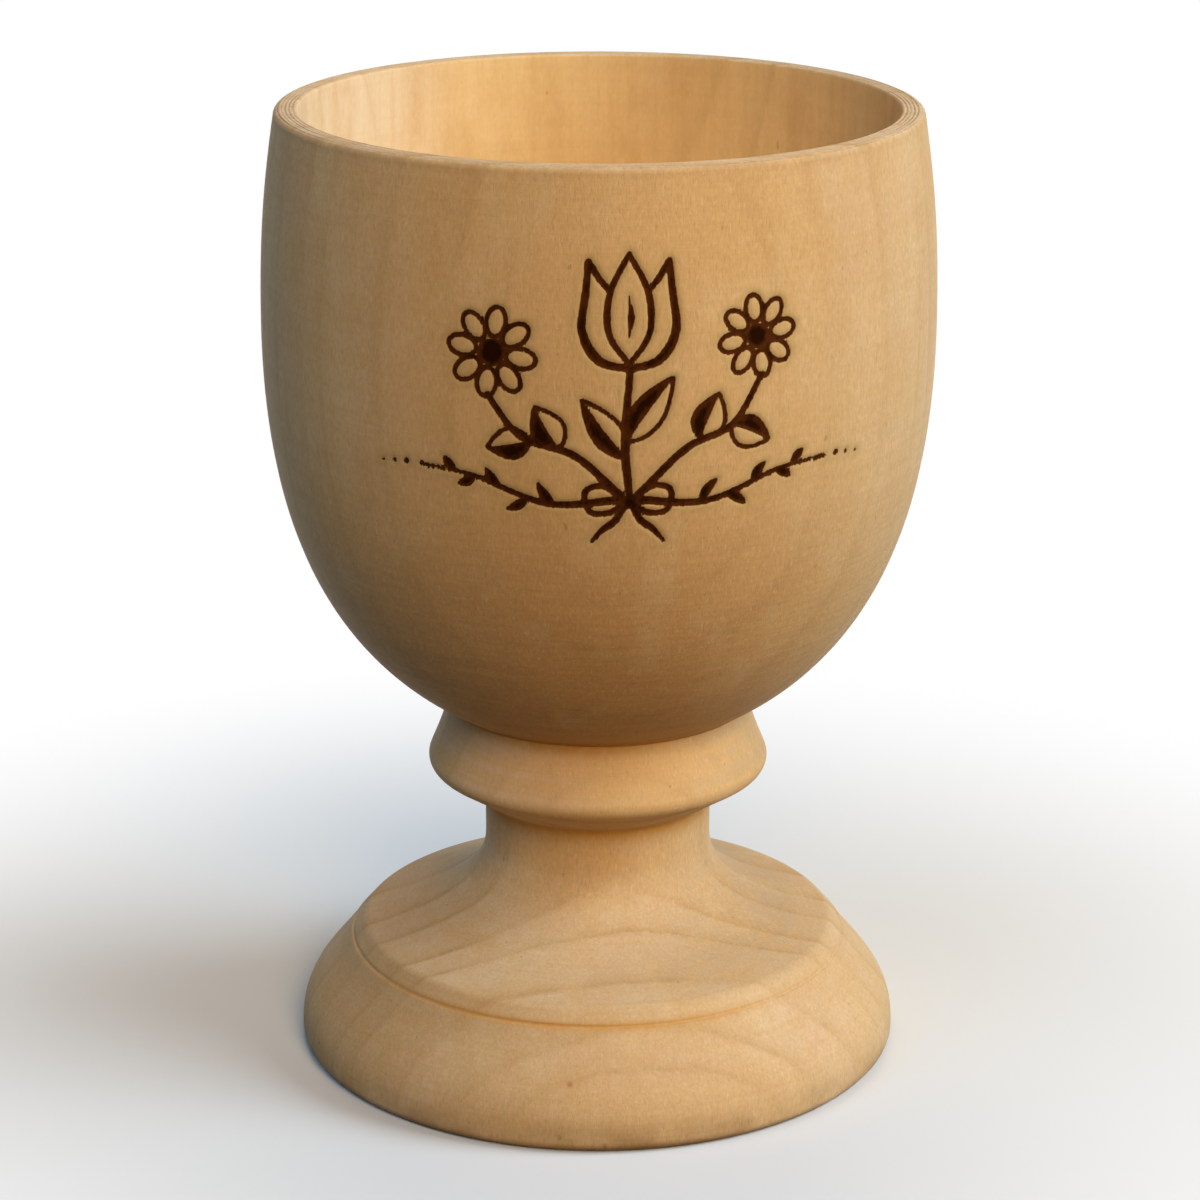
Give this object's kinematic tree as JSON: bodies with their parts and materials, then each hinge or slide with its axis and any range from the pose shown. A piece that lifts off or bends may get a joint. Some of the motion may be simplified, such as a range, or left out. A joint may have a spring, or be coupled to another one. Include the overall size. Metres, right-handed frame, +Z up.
{
  "type": "egg cup",
  "caption": "Turned wooden egg cup: a round bowl glued by its spigot into a pedestal with collar, neck and flared foot.",
  "frame": {"origin": "centre of the flat underside of the foot, on the turning axis", "axes": "+Z up along the turning axis, towards the mouth; -Y towards the decorated side of the bowl"},
  "size_m": [0.0484, 0.0484, 0.0708],
  "materials": {
    "wood": "turned and fine sanded, oiled, with a burned line design on the front of the bowl",
    "glue": "cured wood glue, matt"
  },
  "bodies": {
    "root": {"bowl": "wood", "pedestal": "wood", "glue_film": "glue"}
  },
  "joints": []
}
